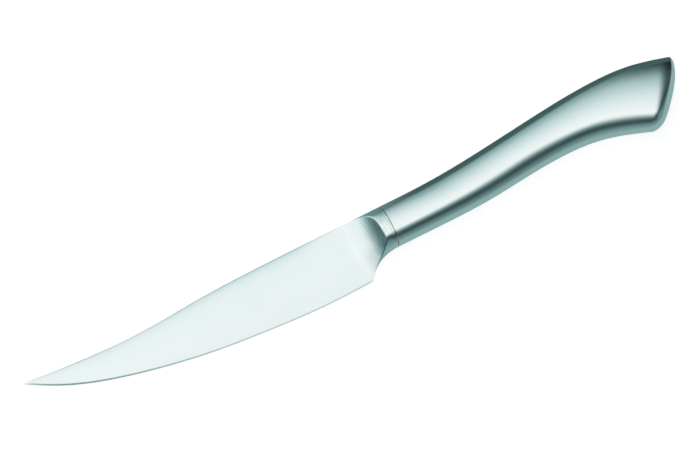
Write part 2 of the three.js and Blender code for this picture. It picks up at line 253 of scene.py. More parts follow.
# Each pair is a share of the length and a share of the rise over the joint.
handle_back_at = outline([
    (HANDLE_BACK_LENGTH * along, JOINT_TOP + HANDLE_HUMP * rise)
    for along, rise in [(0, 0), (0.17, 0.06), (0.34, 0.31), (0.54, 0.71), (0.75, 1), (0.88, 0.89)]
] + [(HANDLE_BACK_LENGTH, JOINT_TOP + BUTT_TOP_RISE)])
handle_belly_at = outline([
    (HANDLE_BELLY_LENGTH * along, JOINT_BOTTOM + HANDLE_HOLLOW * rise)
    for along, rise in [(0, 0), (0.18, 0.03), (0.36, 0.2), (0.53, 0.7), (0.69, 1), (0.84, 0.62)]
] + [(HANDLE_BELLY_LENGTH, JOINT_BOTTOM - BUTT_TOE_DROP)])

# Where the handle is thickest, as a share from the belly to the back, along its length.
crest_at = outline([
    (0, OVAL_MIDDLE), (0.15, 0.45), (0.38, 0.485), (0.48, 0.49), (0.6, 0.445), (0.75, 0.4),
    (0.85, 0.363), (1, 0.31),
])


def underside_at(x):
    """The bolster's underside runs level from the joint and turns down to the heel."""
    turn = 2 * CHOIL_REACH - HEEL_TO_JOINT
    share = (CHOIL_REACH - np.sqrt(np.maximum(CHOIL_REACH ** 2 + turn * x, 0))) / turn
    return mix(JOINT_BOTTOM, HEEL[1], share ** 2)


def oval(angle, back_power=OVAL_POWER, belly_power=OVAL_POWER, middle=OVAL_MIDDLE):
    """Share of the way from back to belly and share of the half thickness at an angle."""
    towards_back = np.cos(angle)
    power = np.where(towards_back > 0, back_power, belly_power)
    reach = np.abs(towards_back) ** (2 / power)
    back_side = (1 - middle) * (1 - reach)
    belly_side = 1 - middle * (1 - reach)
    down = np.where(towards_back > 0, back_side, belly_side)
    return down, np.maximum(np.sin(angle), 0) ** (2 / power)


def solve(value, low, high, steps=60):
    """Where a rising value crosses zero between low and high, by halving."""
    low, high = np.array(low, float), np.array(high, float)
    for _ in range(steps):
        middle = (low + high) / 2
        above = value(middle) > 0
        low, high = np.where(above, low, middle), np.where(above, middle, high)
    return (low + high) / 2


# The forging: blade, scooped bolster, spigot and tang

EDGE_HALF = EDGE_SLOPE * EDGE_BEVEL  # half thickness behind the bevel
WEDGE = (BACK_THICKNESS / 2 - EDGE_HALF) / (back_at(HEEL[0]) - HEEL[1] - EDGE_BEVEL)
SCOOP_RISE = (JOINT_THICKNESS - BACK_THICKNESS) / 2
SCOOP_START = -SCOOP_TO_JOINT - math.sqrt(2 * SCOOP_RADIUS * SCOOP_RISE - SCOOP_RISE ** 2)
BAND_END = JOINT_LINE - JOINT_GAP / 2


def towards_point(x):
    """Share of the way from the heel to the point."""
    return np.clip((x - HEEL[0]) / (POINT[0] - HEEL[0]), 0, 1)


def bevel_at(x):
    """Height of the edge bevel, which widens to the point and closes with the blade there."""
    height = EDGE_BEVEL + POINT_BEVEL * towards_point(x) ** POINT_POWER
    return np.minimum(height, BEVEL_MOST * (back_at(x) - edge_at(x)))


def face_half(x, y):
    """Half thickness under the blade's ground face and the scoop that it runs into."""
    station = np.minimum(x, HEEL[0])
    bevel = bevel_at(station)
    shoulder_half = bevel * (EDGE_SLOPE + POINT_SLOPE * towards_point(station) ** POINT_POWER)
    back, shoulder = back_at(station), edge_at(station) + bevel
    wedge = WEDGE * (back - shoulder)
    back_half = shoulder_half + wedge
    share = (y - shoulder) / np.maximum(back - shoulder, WELD)
    ground = shoulder_half + wedge * share * (1 + GRIND_CONVEX * (1 - share))
    rolled = sum(depth * np.exp((y - back) / reach) for depth, reach in BACK_ROLLS)
    most = BACK_ROLL_MOST * back_half / sum(depth for depth, _ in BACK_ROLLS)
    ground = ground - rolled * np.minimum(most, np.clip((SCOOP_START - x) / BACK_ROLL_FADE, 0, 1))
    late = sum(lean * soft * np.logaddexp(0, side * (y - height) / soft)
               for side, (height, lean, soft) in ((1, SCOOP_UPPER), (-1, SCOOP_LOWER)))
    into = np.clip(x - SCOOP_START - late, 0, SCOOP_MOST * SCOOP_RADIUS)
    return ground + SCOOP_RADIUS - np.sqrt(SCOOP_RADIUS ** 2 - into ** 2)


def bolster_side(x, angle):
    """Height and half thickness of the unscooped bolster."""
    top, bottom = back_at(x), underside_at(x)
    tapered = TAPER_EASE * np.logaddexp(0, -(x + SCOOP_TO_JOINT) / TAPER_EASE)
    by_belly = ease((-np.cos(angle) - TUCK_FROM) / (1 - TUCK_FROM))
    by_heel = ease((JOINT_LINE - x) / TUCK_RUN)
    half = (JOINT_THICKNESS / 2 - BOLSTER_TAPER * tapered) * (1 - TUCK * by_belly * by_heel)
    down, out = oval(angle, JOINT_BACK_POWER + BACK_SQUARENESS * (x / HEEL[0]) ** 2)
    return mix(top, bottom, down), half * out


def soft_least(a, b, softness):
    """The lesser of two heights, with the corner between them rounded."""
    share = np.clip(0.5 + 0.5 * (b - a) / softness, 0, 1)
    return mix(b, a, share) - softness * share * (1 - share)


def over_face(x, angle):
    """How far the unscooped bolster stands over the scoop."""
    y, z = bolster_side(x, angle)
    return z - face_half(x, y)


def rim_at(angle):
    """Where the scoop's rim crosses a line of constant angle, or the heel if it doesn't."""
    return solve(lambda x: -over_face(x, angle), np.full_like(angle, HEEL[0]),
                 np.full_like(angle, BAND_END))


def bolster_angles():
    """Angles of the columns: the back's flat, the face and the underside."""
    least, most = (math.log(angle) for angle in CORNER_BETWEEN)
    corner = math.exp(solve(lambda a: over_face(HEEL[0], np.exp(a)), least, most))
    # Halfway from the middle plane to the corner.
    back_middle = corner * 0.5 ** (0.5 * (JOINT_BACK_POWER + BACK_SQUARENESS))
    shoulder = float(solve(
        lambda a: HEEL[1] + EDGE_BEVEL - bolster_side(HEEL[0], a)[0], math.pi / 2, math.pi))
    # Columns spread evenly along the rim, the joint and the heel at once.
    tries = mix(corner, shoulder, np.linspace(0, 1, SPREAD_TRIES) ** SPREAD_CROWDING)
    rim_x = rim_at(tries)
    spread = np.zeros(len(tries))
    for x in (rim_x, np.full_like(rim_x, BAND_END), np.full_like(rim_x, HEEL[0])):
        y, z = bolster_side(x, tries)
        z = np.minimum(z, face_half(x, y))
        gaps = np.hypot(np.hypot(np.diff(x), np.diff(y)), np.diff(z))
        run = np.concatenate([[0], np.cumsum(gaps)])
        spread += run / run[-1]
    face = np.interp(np.linspace(0, spread[-1], FACE_COLUMNS), spread, tries)
    below = np.linspace(shoulder, math.pi, BEVEL_COLUMNS + 1)[1:]
    # The corner comes twice: on the blade, the broken corner lies between the two.
    return np.concatenate([[0, back_middle, corner], face, below])


ANGLES = bolster_angles()
BACK_COLUMNS = 3


def bolster_rows():
    """Grid of the bolster's near side, with one row of points along the scoop's rim."""
    rim = rim_at(ANGLES)
    scoop = 1 - (1 - np.linspace(0, 1, SCOOP_ROWS)[:, None]) ** RIM_CROWDING
    band = np.linspace(0, 1, BAND_ROWS)[1:, None] ** RIM_CROWDING
    x = np.concatenate([mix(HEEL[0], rim, scoop), mix(rim, BAND_END - JOINT_ROUND, band)])
    y, z = bolster_side(x, ANGLES)
    softness = RIM_ROUND * np.clip((x - HEEL[0]) / RIM_ROUND_RUN, RIM_ROUND_LEAST, 1)
    z = soft_least(z, face_half(x, y), softness)
    bevel = (y - underside_at(x)) * EDGE_SLOPE
    z = np.minimum(z, bevel + BEVEL_RUN_OUT * (x - HEEL[0]))
    z[:, [0, -1]] = 0
    return np.stack([x, y, z], -1)


def blade_rows(heel_row):
    """Grid of the blade's near side, whose columns run on from the bolster's first row."""
    step = np.linspace(0, 1, BLADE_ROWS)[:-1, None]
    x = mix(POINT[0], HEEL[0], step ** BLADE_CROWDING)
    back, edge, bevel = back_at(x), edge_at(x), bevel_at(x)
    broken = BACK_BREAK * np.clip((HEEL[0] - x) / BREAK_FADE, 0, 1)
    broken = np.minimum(broken, BREAK_MOST * (back - edge))
    shoulder = edge + bevel
    face = heel_row[BACK_COLUMNS:BACK_COLUMNS + FACE_COLUMNS, 1]
    face_share = (face - face[-1]) / (face[0] - face[-1])
    below_share = np.linspace(1, 0, BEVEL_COLUMNS + 1)[1:]
    face_y = mix(shoulder, back - broken, face_share)
    face_z = face_half(x, face_y)
    back_z = np.maximum(face_z[:, :1] - broken, BREAK_LEAST * face_z[:, :1])
    below_y = mix(edge, shoulder, below_share)
    below_z = face_z[:, -1:] * below_share
    y = np.concatenate([np.repeat(back, BACK_COLUMNS, 1), face_y, below_y], 1)
    z = np.concatenate([0 * back_z, 0.5 * back_z, back_z, face_z, below_z], 1)
    return np.stack([np.broadcast_to(x, y.shape), y, z], -1)


def joint_rows():
    """The bolster's end face, the spigot behind it and the spigot's flat end."""
    y, z = bolster_side(np.array(BAND_END), ANGLES)
    middle = mix(y[0], y[-1], OVAL_MIDDLE)
    inset = SHELL_WALL + SPIGOT_CLEARANCE

    def ring(x, depth):
        reach = 1 - depth / (JOINT_WIDTH / 2)
        side = 1 - depth / (JOINT_THICKNESS / 2)
        return np.stack([np.full_like(y, x), mix(middle, y, reach), z * side], -1)

    rows = [ring(BAND_END, JOINT_ROUND), ring(BAND_END, inset), ring(SPIGOT_LENGTH, inset)]
    closed = rows[-1] * [1, 1, 0]
    return np.stack(rows + [closed])


def tang_outline():
    """The tang's outline in the middle plane, notched along both edges."""
    def half_width(x):
        return mix(TANG_ROOT_WIDTH, TANG_END_WIDTH, x / TANG_LENGTH) / 2

    def middle(x):
        return TANG_RISE * x / TANG_LENGTH

    edge = [(SPIGOT_LENGTH, 0)]
    for notch in range(1, NOTCH_COUNT + 1):
        at = mix(SPIGOT_LENGTH, TANG_LENGTH, notch / (NOTCH_COUNT + 1))
        half = NOTCH_LENGTH / 2
        edge += [(at - half, 0), (at - half + NOTCH_DEPTH, NOTCH_DEPTH)]
        edge += [(at + half - NOTCH_DEPTH, NOTCH_DEPTH), (at + half, 0)]
    edge.append((TANG_LENGTH, 0))
    low = [(x, middle(x) - half_width(x) + cut) for x, cut in edge]
    high = [(x, middle(x) + half_width(x) - cut) for x, cut in reversed(edge)]
    return low + high


# The handle

CREASE_TOP = np.array([HANDLE_BACK_LENGTH, JOINT_TOP + BUTT_TOP_RISE])
CREASE_TOE = np.array([HANDLE_BELLY_LENGTH, JOINT_BOTTOM - BUTT_TOE_DROP])
CREASE = (CREASE_TOE - CREASE_TOP) / np.linalg.norm(CREASE_TOE - CREASE_TOP)
OUTWARDS = np.array([-CREASE[1], CREASE[0]])


def handle_angles():
    """Angles round half the handle, closer together by the back and the belly."""
    step = np.linspace(0, 1, HANDLE_COLUMNS)
    return math.pi * (step - COLUMN_CROWDING * np.sin(2 * math.pi * step))


MOUTH = JOINT_LINE + JOINT_GAP / 2


def handle_rows(inset):
    """Grid of half the handle, its sides and then its domed end, moved inwards by an inset."""
    first = (MOUTH + (JOINT_ROUND if inset == 0 else 0)) / HANDLE_BACK_LENGTH
    last = 1 - inset / HANDLE_BACK_LENGTH
    row = 1 - (1 - np.linspace(0, 1, HANDLE_ROWS)[:, None]) ** HANDLE_CROWDING
    step = mix(first, last, row)
    back_power = mix(JOINT_BACK_POWER, OVAL_POWER, ease(step / JOINT_POWER_RUN))
    by_butt = ease((step - BUTT_POWER_FROM) / (BUTT_POWER_TO - BUTT_POWER_FROM))
    belly_power = mix(OVAL_POWER, BUTT_BELLY_POWER, by_butt)
    down, out = oval(handle_angles(), back_power, belly_power, crest_at(step))
    back_x = HANDLE_BACK_LENGTH * step
    belly_x = back_x - (HANDLE_BACK_LENGTH - HANDLE_BELLY_LENGTH) * step ** SHEAR_POWER
    top = np.concatenate([back_x, handle_back_at(back_x)], 1)[:, None]
    bottom = np.concatenate([belly_x, handle_belly_at(belly_x)], 1)[:, None]
    across = (bottom - top) / np.linalg.norm(bottom - top, axis=-1, keepdims=True)
    at = mix(top + inset * across, bottom - inset * across, down[..., None])
    bow = CREASE_BOW * (1 - (2 * down - 1) ** CREASE_BOW_POWER)
    to_crease = -(at - CREASE_TOP) @ OUTWARDS - inset
    at = at + (bow * np.maximum(step, 0) ** CREASE_BOW_LATENESS)[..., None] * OUTWARDS
    roll_length = BUTT_ROLL_LENGTH * mix(1, BUTT_ROLL_TOE, down ** 2)
    rolled = BUTT_ROLL_DEPTH * np.clip(1 - to_crease / roll_length, 0, 1) ** BUTT_ROLL_POWER
    half = mix(JOINT_THICKNESS, BUTT_THICKNESS, step) / 2 - inset - rolled
    sides = np.concatenate([at, (half * out)[..., None]], -1)

    end = down[-1]
    power = np.where(end < 0.5, BUTT_TOP_POWER, BUTT_TOE_POWER)
    bulge = BUTT_BULGE * np.maximum(1 - np.abs(2 * end - 1) ** power, 0) ** (1 / power) - bow[-1]
    height = np.cos(math.pi / 2 * np.linspace(0, 1, DOME_ROWS + 1)[1:, None])
    height[-1] = 0
    creased = 1 - height ** (1 / BUTT_DOME_POWER)
    # Where the crease fades out, the end goes on from the slope at which the sides come in.
    crease, before = sides[-1], sides[-2]
    slope = (before - crease)[:, 2] / ((crease - before)[:, :2] @ OUTWARDS)
    lean = np.clip(slope * bulge / np.maximum(crease[:, 2], WELD), 0, BUTT_LEAN_MOST)
    start = lean / (1 - lean)
    rounded = (np.sqrt(1 - (1 - start ** 2) * height ** 2) - start) / (1 - start)
    toe, round_toe = CREASE_TOE_FADE
    fade = np.clip(np.maximum(1 - end / CREASE_TOP_FADE, (end - toe) / (round_toe - toe)), 0, 1)
    reach = bulge * mix(creased, rounded, fade)
    turned = TOE_TURN * ease((end - TOE_TURN_FROM) / (1 - TOE_TURN_FROM))
    dome_at = crease[:, :2] + reach[..., None] * (OUTWARDS - turned[:, None] * CREASE)
    dome = np.concatenate([dome_at, (crease[:, 2] * height)[..., None]], -1)
    return np.concatenate([sides, dome])


def mouth_row(outside):
    """The shell's mouth, drawn in by the broken corner of its outer edge."""
    y, z = outside[0, :, 1], outside[0, :, 2]
    middle = mix(y[0], y[-1], OVAL_MIDDLE)
    reach = 1 - JOINT_ROUND / (JOINT_WIDTH / 2)
    side = 1 - JOINT_ROUND / (JOINT_THICKNESS / 2)
    return np.stack([np.full_like(y, MOUTH), mix(middle, y, reach), z * side], -1)[None]


# From grids to meshes

class Piece:
    """Collects grids and outlines of points, and makes one welded mesh object of them."""

    def __init__(self):
        self.points, self.faces, self.crisp = [], [], []
        self.count = 0

    def add_points(self, points, crisp):
        start = self.count
        self.points.append(np.asarray(points).reshape(-1, 3))
        self.crisp.append(np.broadcast_to(crisp, np.shape(points)[:-1]).ravel())
        self.count += len(self.points[-1])
        return start + np.arange(len(self.points[-1])).reshape(np.shape(points)[:-1])

    def add_grid(self, points, crisp=False):
        ids = self.add_points(points, crisp)
        quads = [ids[:-1, :-1], ids[:-1, 1:], ids[1:, 1:], ids[1:, :-1]]
        self.faces += np.stack(quads, -1).reshape(-1, 4).tolist()

    def add_plate(self, shape, thickness):
        flat = np.array([(x, y, 0) for x, y in shape])
        low = self.add_points(flat - [0, 0, thickness / 2], False).tolist()
        high = self.add_points(flat + [0, 0, thickness / 2], False).tolist()
        self.faces += [low[::-1], high]
        for i in range(len(low)):
            j = (i + 1) % len(low)
            self.faces.append([low[i], low[j], high[j], high[i]])

    def build(self, name, material):
        mesh = bpy.data.meshes.new(name)
        mesh.from_pydata(place(np.concatenate(self.points)).tolist(), [], self.faces)
        bm = bmesh.new()
        bm.from_mesh(mesh)
        layer = bm.verts.layers.int.new("crisp")
        for vert, crisp in zip(bm.verts, np.concatenate(self.crisp)):
            vert[layer] = int(crisp)
        bmesh.ops.remove_doubles(bm, verts=bm.verts, dist=WELD * MM)
        bmesh.ops.dissolve_degenerate(bm, edges=bm.edges, dist=WELD * MM)
        bmesh.ops.recalc_face_normals(bm, faces=bm.faces)
        for face in bm.faces:
            face.smooth = True
        for edge in bm.edges:
            marked = all(vert[layer] for vert in edge.verts)
            edge.smooth = not marked and edge.calc_face_angle(0) < SHARP_ANGLE
        bm.verts.layers.int.remove(layer)
        bm.to_mesh(mesh)
        bm.free()
        mesh.materials.append(material)
        made = bpy.data.objects.new(name, mesh)
        bpy.context.scene.collection.objects.link(made)
        return made


def mirrored(points):
    """The same points on the knife's other side."""
    return points * [1, 1, -1]


def make_forging(material):
    """The blade, its bolster, spigot and tang as one object."""
    bolster = bolster_rows()
    blade = blade_rows(bolster[0])
    side = np.concatenate([blade, bolster, joint_rows()])
    crisp = np.zeros(side.shape[:2], bool)
    crisp[:len(blade) + 1, BACK_COLUMNS + FACE_COLUMNS - 1] = True  # shoulder of the edge bevel
    forging = Piece()
    for points in (side, mirrored(side)):
        forging.add_grid(points, crisp)
    forging.add_plate(tang_outline(), TANG_THICKNESS)
    return forging.build("blade_forging", material)


def make_shell(name, turn, material):
    """One half of the hollow handle. turn moves its points to its own side."""
    outside = handle_rows(0)
    inside = handle_rows(SHELL_WALL)
    inside = np.concatenate([inside[:1] * [0, 1, 1] + [MOUTH, 0, 0], inside])
    outside = np.concatenate([mouth_row(outside), outside])
    down = oval(handle_angles(), OVAL_POWER, BUTT_BELLY_POWER, crest_at(1))[0]
    crisp = np.zeros(outside.shape[:2], bool)
    # The crease is the last row of the sides, which come after the row of the mouth.
    crisp[HANDLE_ROWS] = (down > CREASE_SHARP[0]) & (down < CREASE_SHARP[1])
    shell = Piece()
    shell.add_grid(turn(outside), crisp)
    shell.add_grid(turn(inside))
    # The mouth, and the flat seam where the two halves are welded.
    shell.add_grid(turn(np.stack([outside[0], inside[0]])))
    shell.add_grid(turn(np.stack([outside[:, 0], inside[:, 0]])))
    shell.add_grid(turn(np.stack([outside[:, -1], inside[:, -1]])))
    shell.add_grid(turn(np.stack([outside[-1], inside[-1]])))
    return shell.build(name, material)


# Materials

MIX_A, MIX_B, MIX_RESULT = 6, 7, 2  # sockets of a mix node that mixes colours


class Nodes:
    """A short way to write a node tree."""

    def __init__(self, tree):
        self.tree = tree
        tree.nodes.clear()

    def add(self, kind, inputs=None, **settings):
        node = self.tree.nodes.new(kind)
        for key, value in settings.items():
            setattr(node, key, value)
        for key, value in (inputs or {}).items():
            if isinstance(value, bpy.types.NodeSocket):
                self.tree.links.new(value, node.inputs[key])
            else:
                node.inputs[key].default_value = value
        return node

    def ramp(self, factor, stops):
        node = self.add("ShaderNodeValToRGB", {"Fac": factor})
        elements = node.color_ramp.elements
        while len(elements) < len(stops):
            elements.new(0.5)
        for element, (position, color) in zip(elements, stops):
            element.position = position
            element.color = (*color, 1)
        return node.outputs["Color"]


def new_material(name):
    """A material and its empty node tree."""
    material = bpy.data.materials.new(name)
    material.use_nodes = True
    return material, Nodes(material.node_tree)


NOISE_LOW, NOISE_HIGH = 0.3, 0.7  # a noise texture mostly lies between these
# Grains to a metre, along X, Y and Z
FINE_GRAIN = (5200, 130, 130)
BROAD_GRAIN = (900, 45, 45)
HATCH_GRAIN = (3000, 420, 420)
BROAD_SHARE = 0.25  # of the broad lines among the fine ones
CLOUD_SHARE = 0.35  # of the clouds among both, in the roughness
ROUGHNESS_SPREAD = 0.02  # to both sides
HATCH_FROM, HATCH_FULL = -15, -8  # where the hatch begins and is full, along X from the joint
HATCH_COLORS = ((0.65, 0.71, 0.708), (0.81, 0.87, 0.868))


def hatched(nodes, spot, color):
    """A colour that turns into coarser brushed lines on the bolster."""
    across = nodes.add("ShaderNodeMapping", {"Vector": spot, "Scale": HATCH_GRAIN})
    lines = nodes.add("ShaderNodeTexNoise", {"Vector": across.outputs[0], "Scale": 1, "Detail": 1})
    hatch = nodes.ramp(
        lines.outputs["Fac"], [(NOISE_LOW, HATCH_COLORS[0]), (NOISE_HIGH, HATCH_COLORS[1])])
    along = nodes.add("ShaderNodeSeparateXYZ", {"Vector": spot}).outputs["X"]
    joint = JOINT_PLACE.x
    share = nodes.add("ShaderNodeMapRange", {
        "Value": along, "From Min": joint + HATCH_FROM * MM, "From Max": joint + HATCH_FULL * MM})
    mixed = nodes.add("ShaderNodeMix", {
        "Factor": share.outputs["Result"], MIX_A: color, MIX_B: hatch}, data_type="RGBA")
    return mixed.outputs[MIX_RESULT]


def brushed_steel(name, dark, light, roughness, line_depth, on_bolster=False):
    """Satin steel, ground with fine lines across the knife's length. Depths are in millimetres."""
    material, nodes = new_material(name)
    spot = nodes.add("ShaderNodeTexCoord").outputs["Object"]
    fine = nodes.add("ShaderNodeMapping", {"Vector": spot, "Scale": FINE_GRAIN})
    broad = nodes.add("ShaderNodeMapping", {"Vector": spot, "Scale": BROAD_GRAIN})
    fine_lines = nodes.add(
        "ShaderNodeTexNoise", {"Vector": fine.outputs[0], "Scale": 1, "Detail": 2})
    broad_lines = nodes.add(
        "ShaderNodeTexNoise", {"Vector": broad.outputs[0], "Scale": 1, "Detail": 3})
    clouds = nodes.add("ShaderNodeTexNoise", {"Vector": spot, "Scale": 55, "Detail": 3})
    lines = nodes.add("ShaderNodeMix", {
        "Factor": BROAD_SHARE, "A": fine_lines.outputs["Fac"], "B": broad_lines.outputs["Fac"]})
    color = nodes.ramp(lines.outputs["Result"], [(NOISE_LOW, dark), (NOISE_HIGH, light)])
    if on_bolster:
        color = hatched(nodes, spot, color)
    streaks = nodes.add("ShaderNodeMix", {
        "Factor": CLOUD_SHARE, "A": lines.outputs["Result"], "B": clouds.outputs["Fac"]})
    rough = nodes.add("ShaderNodeMapRange", {
        "Value": streaks.outputs["Result"], "From Min": NOISE_LOW, "From Max": NOISE_HIGH,
        "To Min": roughness - ROUGHNESS_SPREAD, "To Max": roughness + ROUGHNESS_SPREAD})
    bump = nodes.add("ShaderNodeBump", {
        "Height": lines.outputs["Result"], "Strength": 1, "Distance": line_depth * MM})
    tangent = nodes.add("ShaderNodeTangent", direction_type="RADIAL", axis="X")
    shader = nodes.add("ShaderNodeBsdfPrincipled", {
        "Base Color": color, "Metallic": 1, "Roughness": rough.outputs["Result"],
        "Anisotropic": 0.35, "Anisotropic Rotation": 0.25,
        "Normal": bump.outputs["Normal"], "Tangent": tangent.outputs["Tangent"]})
    nodes.add("ShaderNodeOutputMaterial", {"Surface": shader.outputs["BSDF"]})
    return material


def cast_cement():
    """Grey resin cement with fine filler grains."""
    material, nodes = new_material("cement")
    spot = nodes.add("ShaderNodeTexCoord").outputs["Object"]
    grains = nodes.add("ShaderNodeTexNoise", {"Vector": spot, "Scale": 2500, "Detail": 4})
    patches = nodes.add("ShaderNodeTexNoise", {"Vector": spot, "Scale": 180, "Detail": 2})
    blend = nodes.add("ShaderNodeMix", {
        "Factor": 0.5, "A": grains.outputs["Fac"], "B": patches.outputs["Fac"]})
    color = nodes.ramp(blend.outputs["Result"], [
        (NOISE_LOW, (0.3, 0.28, 0.25)), (NOISE_HIGH, (0.5, 0.48, 0.44))])
    bump = nodes.add("ShaderNodeBump", {
        "Height": grains.outputs["Fac"], "Strength": 1, "Distance": 0.05 * MM})
    shader = nodes.add("ShaderNodeBsdfPrincipled", {
        "Base Color": color, "Roughness": 0.9, "Normal": bump.outputs["Normal"]})
    nodes.add("ShaderNodeOutputMaterial", {"Surface": shader.outputs["BSDF"]})
    return material


def make_floor():
    """A plain floor, lifted towards white for the camera and for reflections alike."""
    material, nodes = new_material("floor")
    path = nodes.add("ShaderNodeLightPath").outputs
    seen = nodes.add("ShaderNodeMath", operation="ADD", use_clamp=True, inputs={
        0: path["Is Camera Ray"], 1: path["Is Glossy Ray"]})
    seen = nodes.add("ShaderNodeMath", operation="ADD", use_clamp=True, inputs={
        0: seen.outputs[0], 1: path["Is Transmission Ray"]})
    lift = nodes.add("ShaderNodeMath", operation="MULTIPLY", inputs={
        0: seen.outputs[0], 1: FLOOR_LIFT})
    shader = nodes.add("ShaderNodeBsdfPrincipled", {
        "Base Color": (*FLOOR_COLOR, 1), "Roughness": 0.8, "Specular IOR Level": 0.1,
        "Emission Color": (1, 1, 1, 1), "Emission Strength": lift.outputs[0]})
    nodes.add("ShaderNodeOutputMaterial", {"Surface": shader.outputs["BSDF"]})
    mesh = bpy.data.meshes.new("floor")
    corners = [(-1, -1), (1, -1), (1, 1), (-1, 1)]
    points = [(FLOOR_REACH * x, FLOOR_REACH * y, 0) for x, y in corners]
    mesh.from_pydata(points, [], [(0, 1, 2, 3)])
    mesh.materials.append(material)
    floor = bpy.data.objects.new("floor", mesh)
    bpy.context.scene.collection.objects.link(floor)


def make_card(name, low, high, heights, axis, fade, colors):
    """A card that slopes up beside the steel. Only reflections see it."""
    material, nodes = new_material(name)
    spot = nodes.add("ShaderNodeTexCoord").outputs["Object"]
    along = nodes.add("ShaderNodeSeparateXYZ", {"Vector": spot}).outputs[axis]
    share = nodes.add("ShaderNodeMapRange", {
        "Value": along, "From Min": fade[0] * MM, "From Max": fade[1] * MM})
    color = nodes.ramp(share.outputs["Result"], [(0, colors[0]), (1, colors[1])])
    shader = nodes.add("ShaderNodeEmission", {"Color": color, "Strength": 1})
    nodes.add("ShaderNodeOutputMaterial", {"Surface": shader.outputs["Emission"]})
    floor = -JOINT_PLACE.z / MM
    points = [(x, y, floor + CARD_LIFT) for x, y in low]
    points += [(x, y, floor + height) for (x, y), height in zip(high, heights)]
    count = len(low)
    mesh = bpy.data.meshes.new(name)
    mesh.from_pydata(place(points).tolist(), [], [
        (i, i + 1, count + i + 1, count + i) for i in range(count - 1)])
    mesh.materials.append(material)
    card = bpy.data.objects.new(name, mesh)
    card.visible_camera = False
    card.visible_diffuse = False
    card.visible_shadow = False
    bpy.context.scene.collection.objects.link(card)


def make_cards():
    """One card along the handle's back and one round its butt and along its belly."""
    along = np.linspace(0, 1, CARD_POINTS)
    back_x = mix(-HEEL_TO_JOINT, HANDLE_BACK_LENGTH, along)
    back_y = np.where(back_x < 0, back_at(back_x), handle_back_at(back_x))
    belly_x = mix(HANDLE_BELLY_LENGTH, -CHOIL_REACH, along)
    belly_y = np.where(belly_x < 0, JOINT_BOTTOM, handle_belly_at(belly_x))

    def back_path(gap):
        return [*zip(back_x, back_y + gap), CREASE_TOP + gap * (OUTWARDS - CREASE)]

    def belly_path(gap):
        ends = [CREASE_TOP + gap * (OUTWARDS - CREASE), CREASE_TOE + gap * (OUTWARDS + CREASE)]
        return ends + [*zip(belly_x, belly_y - gap)]

    back_heights = [
        *np.interp(back_x, TALL_CARD_RUN, (TALL_CARD_HEIGHT, CARD_HEIGHT)), CARD_HEIGHT]
    belly_heights = [TALL_CARD_HEIGHT] * 2 + [BELLY_CARD_HEIGHT] * len(belly_x)
    joint = JOINT_PLACE.x / MM
    back_fade = (joint + BACK_CARD_FADE[0], joint + BACK_CARD_FADE[1])
    make_card("back_card", back_path(CARD_NEAR), back_path(CARD_FAR), back_heights,
              "X", back_fade, BACK_CARD)
    make_card("belly_card", belly_path(CARD_NEAR), belly_path(CARD_FAR), belly_heights,
              "Z", BELLY_CARD_FADE, BELLY_CARD)


# Light and camera

FLOOR_COLOR = (0.85, 0.74, 0.74)  # warmer than grey, to balance the light's tint
FLOOR_LIFT = 0.65  # glow that the camera and reflections see
FLOOR_REACH = 15  # metres
LIGHT_LEVEL = 1.2
DARK_RED = 0.5  # red that is left, against green and blue, where the studio is dark
TINT_POWER = 1.4  # how late the red comes back as the light gets brighter

# Brightness of the studio round the knife. Each pair is how far a direction leans along an axis
# and the level there. Across the knife, from the belly's side to the back's: dark surroundings,
# then the soft light overhead, fading out down the sweep behind the back.
ACROSS = [
    (-1, 0.3), (-0.93, 0.23), (-0.84, 0.11), (-0.735, 0.04), (-0.68, 0.035), (-0.595, 0.065),
    (-0.495, 0.17), (-0.405, 0.37), (-0.335, 0.63), (-0.275, 0.88), (-0.23, 1.02), (-0.17, 1.04),
    (-0.11, 1), (-0.05, 0.975), (0.02, 0.96), (0.15, 0.925), (0.35, 0.86), (0.55, 0.77),
    (0.75, 0.66), (0.86, 0.56), (0.93, 0.46), (0.98, 0.37), (1, 0.3), (1.12, 0.16), (1.3, 0.06),
]
# Along it, from the point's side to the butt's: the soft light ends on both sides.
ALONG = [
    (-1, 0.1), (-0.92, 0.135), (-0.86, 0.19), (-0.8, 0.3), (-0.73, 0.5), (-0.66, 0.73),
    (-0.6, 0.91), (-0.53, 1), (-0.1, 1), (0, 1.05), (0.12, 1.05), (0.24, 1), (0.38, 0.99),
    (0.45, 0.8), (0.55, 0.4), (0.64, 0.12), (0.72, 0.04),
]

# Behind the back the soft light ends along a slant, earlier towards the butt.
SLANT = 1.7  # how much earlier, for a direction's lean along X
SLANT_FROM = 0.23  # lean at which that begins
SLANT_GAIN = 3  # how fast it sets in from the middle towards the back's side

# A low fill light in front of the butt, which the knife's upper side mirrors from behind its back
FILL_TOWARDS = Vector((0.69, -0.68, 0.24)).normalized()
FILL_LEVEL = 0.4
FILL_REACH = (22, 5)  # degrees from its middle, at which it starts and at which it is full

# Cards close to the handle, which its lower sides mirror, in millimetres
CARD_NEAR = 2  # gap to the steel at the card's foot
CARD_FAR = 13  # and at its top
CARD_LIFT = 0.3  # its foot above the floor
CARD_HEIGHT = 13  # its top above the floor
BELLY_CARD_HEIGHT = 14.2  # along the belly
TALL_CARD_HEIGHT = 18  # by the bolster's back and at the butt
TALL_CARD_RUN = (0, 12)  # where the back's card comes down from that, along X from the joint
CARD_POINTS = 30  # along the handle
BACK_CARD = ((0.2, 0.34, 0.34), (0.06, 0.12, 0.12))
BACK_CARD_FADE = (-8, 16)  # from one colour to the other, along X from the joint
BELLY_CARD = ((0.31, 0.475, 0.475), (0.06, 0.12, 0.12))
BELLY_CARD_FADE = (11.5, 18)  # from one colour to the other, up from the floor


